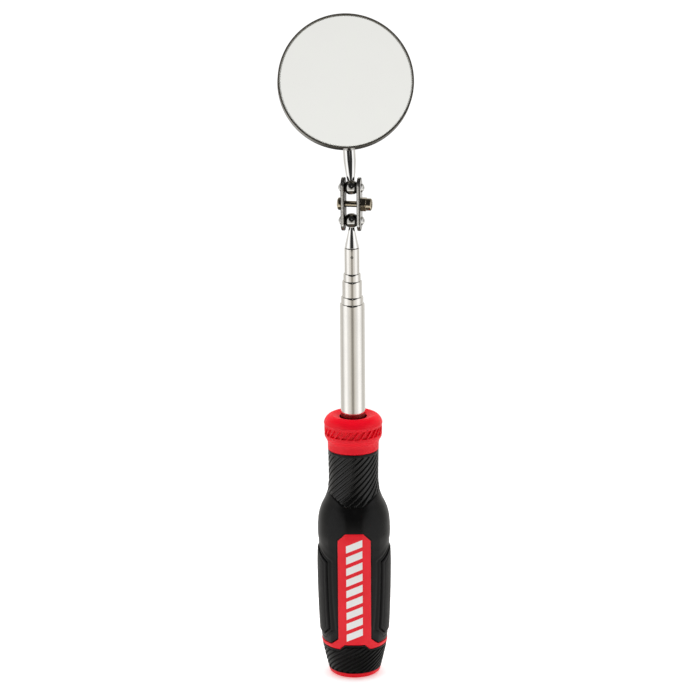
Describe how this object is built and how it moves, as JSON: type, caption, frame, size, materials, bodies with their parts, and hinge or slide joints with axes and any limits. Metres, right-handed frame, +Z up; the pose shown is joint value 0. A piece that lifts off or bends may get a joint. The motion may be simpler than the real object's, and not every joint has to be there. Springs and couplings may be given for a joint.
{
  "type": "telescoping inspection mirror",
  "caption": "Round inspection mirror on a double-ball link at the end of a telescopic steel mast, with a contoured two-material grip.",
  "frame": {"origin": "centre of the flat butt face of the handle", "axes": "+Z up the mast, -Y the way the mirror and the handle's front panel face, +X to the side with the link's nut"},
  "size_m": [0.0578, 0.0394, 0.2892],
  "materials": {
    "mirror": "polished",
    "bezel_chrome": "bright",
    "stem_chrome": "bright",
    "stainless": "fine brushed",
    "plate_steel": "tumbled",
    "screw_steel": "zinc plated",
    "bronze": "satin",
    "red_plastic": "satin",
    "collar_red": "satin",
    "black_rubber": "matt",
    "pad_rubber": "matt",
    "black_plastic": "matt",
    "nylon": "matt",
    "foam": "matt"
  },
  "bodies": {
    "handle": {"handle_core": "red_plastic", "grip_sleeve": "black_rubber", "side_pad_left": "pad_rubber", "side_pad_right": "pad_rubber", "tail_grip": "black_rubber", "end_cap": "red_plastic", "nose_collar": "collar_red", "mast_plug": "black_plastic", "mast_pin": "screw_steel", "tube_5": "stainless"},
    "slide_4": {"friction_spring_4": "bronze"},
    "section_4": {"tube_4": "stainless"},
    "slide_3": {"friction_spring_3": "bronze"},
    "section_3": {"tube_3": "stainless"},
    "slide_2": {"friction_spring_2": "bronze"},
    "section_2": {"tube_2": "stainless"},
    "slide_1": {"friction_spring_1": "bronze"},
    "section_1": {"tube_1": "stainless", "ball_stud": "stem_chrome", "stud_pin": "plate_steel"},
    "link": {"link_plate_left": "plate_steel", "link_plate_right": "plate_steel", "clamp_screw": "screw_steel", "clamp_nut": "screw_steel", "nut_insert": "nylon"},
    "upper_ball": {"upper_ball": "stem_chrome"},
    "head": {"mirror_stem": "stem_chrome", "stem_saddle": "plate_steel", "saddle_rivets": "screw_steel", "mirror_bezel": "bezel_chrome", "mirror_cushion": "foam", "mirror_glass": "mirror"}
  },
  "joints": [
    {"name": "tube_4_slide", "type": "slide", "parent": "handle", "child": "slide_4", "axis": [0, 0, 1], "range_m": [0, 0.1269]},
    {"name": "tube_4_turn", "type": "hinge", "parent": "slide_4", "child": "section_4", "pos_m": [0, 0, 0.1], "axis": [0, 0, 1], "continuous": true},
    {"name": "tube_3_slide", "type": "slide", "parent": "section_4", "child": "slide_3", "axis": [0, 0, 1], "range_m": [0, 0.123]},
    {"name": "tube_3_turn", "type": "hinge", "parent": "slide_3", "child": "section_3", "pos_m": [0, 0, 0.1], "axis": [0, 0, 1], "continuous": true},
    {"name": "tube_2_slide", "type": "slide", "parent": "section_3", "child": "slide_2", "axis": [0, 0, 1], "range_m": [0, 0.1268]},
    {"name": "tube_2_turn", "type": "hinge", "parent": "slide_2", "child": "section_2", "pos_m": [0, 0, 0.1], "axis": [0, 0, 1], "continuous": true},
    {"name": "tube_1_slide", "type": "slide", "parent": "section_2", "child": "slide_1", "axis": [0, 0, 1], "range_m": [0, 0.1259]},
    {"name": "tube_1_turn", "type": "hinge", "parent": "slide_1", "child": "section_1", "pos_m": [0, 0, 0.1], "axis": [0, 0, 1], "continuous": true},
    {"name": "link_tilt", "type": "hinge", "parent": "section_1", "child": "link", "pos_m": [0, 0, 0.2037], "axis": [0.9863, -0.165, 0], "range_deg": [-90, 90]},
    {"name": "mirror_tilt", "type": "hinge", "parent": "link", "child": "upper_ball", "pos_m": [0, 0, 0.21805], "axis": [-0.9863, 0.165, 0], "range_deg": [-108, 69]},
    {"name": "mirror_turn", "type": "hinge", "parent": "upper_ball", "child": "head", "pos_m": [0, 0, 0.21805], "axis": [-0.0521, 0.3584, 0.9321], "continuous": true}
  ]
}
